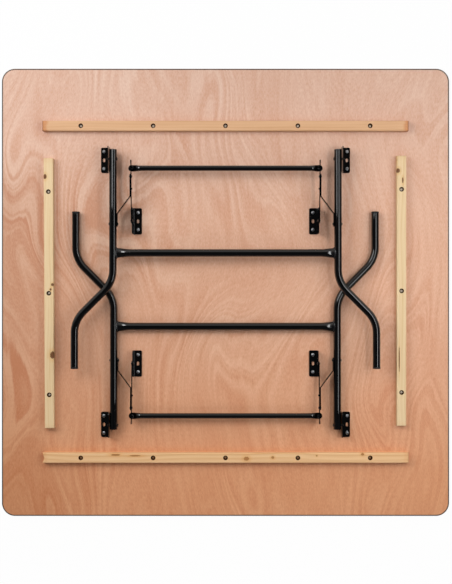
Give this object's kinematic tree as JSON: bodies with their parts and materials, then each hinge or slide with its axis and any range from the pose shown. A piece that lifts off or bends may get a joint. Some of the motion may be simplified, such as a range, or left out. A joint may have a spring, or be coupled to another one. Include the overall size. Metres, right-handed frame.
{
  "type": "folding banquet table",
  "caption": "Square plywood banquet table with a dark edge band, softwood battens and black steel wishbone legs that fold flat onto the underside and lock with hinged braces.",
  "frame": {"origin": "middle of the show face, on which the folded table lies", "axes": "+Z away from the show face, towards the folded legs; +Y towards the north leg set's pivots; +X towards the east batten"},
  "size_m": [1.524, 1.524, 0.0755],
  "materials": {
    "plywood": "rotary-cut hardwood veneer under satin clear lacquer",
    "edge_vinyl": "dark brown vinyl edge moulding",
    "pine": "planed bare pine",
    "black_steel": "gloss black powder coat",
    "black_rivet": "black coated steel rivet",
    "zinc_screw": "bright zinc plate",
    "foot_plastic": "black moulded plastic"
  },
  "bodies": {
    "table_top": {"batten_screws": "zinc_screw", "east_batten": "pine", "edge_band": "edge_vinyl", "north_batten": "pine", "north_brace_bracket_screws": "zinc_screw", "north_bracket_rivets": "black_rivet", "north_east_brace_bracket": "black_steel", "north_east_hinge_bracket": "black_steel", "north_hinge_bracket_screws": "zinc_screw", "north_pivot_rivets": "black_rivet", "north_west_brace_bracket": "black_steel", "north_west_hinge_bracket": "black_steel", "plywood_panel": "plywood", "south_batten": "pine", "south_brace_bracket_screws": "zinc_screw", "south_bracket_rivets": "black_rivet", "south_east_brace_bracket": "black_steel", "south_east_hinge_bracket": "black_steel", "south_hinge_bracket_screws": "zinc_screw", "south_pivot_rivets": "black_rivet", "south_west_brace_bracket": "black_steel", "south_west_hinge_bracket": "black_steel", "west_batten": "pine"},
    "north_legs": {"north_crossbar": "black_steel", "north_east_foot_plug": "foot_plastic", "north_east_leg": "black_steel", "north_leg_rivets": "black_rivet", "north_west_foot_plug": "foot_plastic", "north_west_leg": "black_steel"},
    "north_upper_arms": {"north_brace_bar": "black_steel", "north_east_upper_arm": "black_steel", "north_knee_rivet_inner_halves": "black_rivet", "north_west_upper_arm": "black_steel"},
    "north_lower_arms": {"north_east_lower_arm": "black_steel", "north_knee_rivet_outer_halves": "black_rivet", "north_west_lower_arm": "black_steel"},
    "south_legs": {"south_crossbar": "black_steel", "south_east_foot_plug": "foot_plastic", "south_east_leg": "black_steel", "south_leg_rivets": "black_rivet", "south_west_foot_plug": "foot_plastic", "south_west_leg": "black_steel"},
    "south_upper_arms": {"south_brace_bar": "black_steel", "south_east_upper_arm": "black_steel", "south_knee_rivet_inner_halves": "black_rivet", "south_west_upper_arm": "black_steel"},
    "south_lower_arms": {"south_east_lower_arm": "black_steel", "south_knee_rivet_outer_halves": "black_rivet", "south_west_lower_arm": "black_steel"}
  },
  "joints": [
    {"name": "north_leg_fold", "type": "hinge", "parent": "table_top", "child": "north_legs", "pos_m": [0, 0.4495, 0.056], "axis": [-1, 0, 0], "range_deg": [0, 89.45]},
    {"name": "north_upper_arm_swing", "type": "hinge", "parent": "table_top", "child": "north_upper_arms", "pos_m": [0, 0.242, 0.048], "axis": [1, 0, 0], "range_deg": [0, 42.88]},
    {"name": "north_lower_arm_swing", "type": "hinge", "parent": "north_legs", "child": "north_lower_arms", "pos_m": [0, 0.22991, 0.05812], "axis": [-1, 0, 0], "range_deg": [0, 43.71]},
    {"name": "south_leg_fold", "type": "hinge", "parent": "table_top", "child": "south_legs", "pos_m": [0, -0.4495, 0.039], "axis": [1, 0, 0], "range_deg": [0, 90.56]},
    {"name": "south_upper_arm_swing", "type": "hinge", "parent": "table_top", "child": "south_upper_arms", "pos_m": [0, -0.242, 0.031], "axis": [-1, 0, 0], "range_deg": [0, 41.85]},
    {"name": "south_lower_arm_swing", "type": "hinge", "parent": "south_legs", "child": "south_lower_arms", "pos_m": [0, -0.22991, 0.03687], "axis": [1, 0, 0], "range_deg": [0, 45.08]}
  ],
  "couplings": [
    {"joint": "north_upper_arm_swing", "follows": "north_leg_fold", "ratio": 0.47926},
    {"joint": "north_lower_arm_swing", "follows": "north_leg_fold", "ratio": 0.48862},
    {"joint": "south_upper_arm_swing", "follows": "south_leg_fold", "ratio": 0.46207},
    {"joint": "south_lower_arm_swing", "follows": "south_leg_fold", "ratio": 0.49768}
  ]
}
